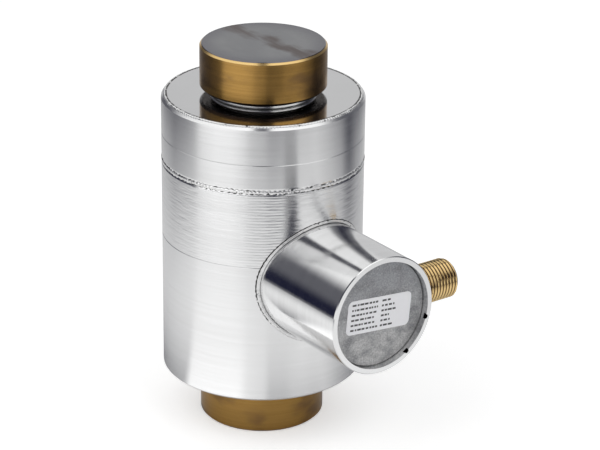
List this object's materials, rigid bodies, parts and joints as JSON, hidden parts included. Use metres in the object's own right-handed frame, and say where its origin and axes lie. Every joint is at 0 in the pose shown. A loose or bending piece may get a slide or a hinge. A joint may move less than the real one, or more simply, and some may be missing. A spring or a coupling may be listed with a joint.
{
  "type": "column load cell",
  "caption": "Compression load cell: a round column between a foot and a load button, a cylindrical steel housing, and a side tube with a threaded connector and a bare label.",
  "frame": {"origin": "centre of the foot's bottom face, where the cell stands", "axes": "+Z along the load axis from the foot to the load button, -Y along the side tube, +X along the connector"},
  "size_m": [0.0793, 0.1136, 0.15],
  "materials": {
    "column_steel": "fine ground",
    "bronzed_steel": "fine turned, straw to bronze tempered",
    "housing_steel": "turned, bright",
    "polished_steel": "polished",
    "blasted_cover": "bead blasted",
    "seal_rubber": "matt",
    "label_film": "satin film",
    "board_laminate": "satin lacquer",
    "plated_brass": "nickel plated",
    "plated_steel": "zinc plated",
    "resistor_body": "matt",
    "connector_brass": "bright turned",
    "insert_plastic": "matt moulded",
    "contact_brass": "gold flashed",
    "gauge_film": "amber film",
    "wire_sheath": "satin",
    "lead_sheath": "satin"
  },
  "bodies": {
    "root": {"load_column": "column_steel", "foot": "bronzed_steel", "load_button": "bronzed_steel", "housing_sleeve": "housing_steel", "middle_ring": "housing_steel", "upper_ring": "housing_steel", "bottom_plate": "polished_steel", "top_plate": "polished_steel", "side_tube": "housing_steel", "tube_collar": "polished_steel", "end_cover": "blasted_cover", "cover_seal": "seal_rubber", "label": "label_film", "trim_board": "board_laminate", "board_pillar_1": "plated_brass", "board_pillar_2": "plated_brass", "board_pillar_3": "plated_brass", "board_screw_1": "plated_steel", "board_screw_2": "plated_steel", "board_screw_3": "plated_steel", "trim_resistor_1": "resistor_body", "trim_resistor_2": "resistor_body", "trim_resistor_3": "resistor_body", "trim_resistor_4": "resistor_body", "connector_shell": "connector_brass", "connector_insert": "insert_plastic", "connector_pin_1": "contact_brass", "connector_pin_2": "contact_brass", "connector_pin_3": "contact_brass", "connector_pin_4": "contact_brass", "connector_pin_5": "contact_brass", "connector_pin_6": "contact_brass", "strain_gauge_1": "gauge_film", "strain_gauge_2": "gauge_film", "strain_gauge_3": "gauge_film", "strain_gauge_4": "gauge_film", "gauge_wire_1": "wire_sheath", "gauge_wire_2": "wire_sheath", "gauge_wire_3": "wire_sheath", "gauge_wire_4": "wire_sheath", "terminal_ring": "board_laminate", "signal_lead": "lead_sheath", "connector_lead": "lead_sheath"}
  },
  "joints": []
}
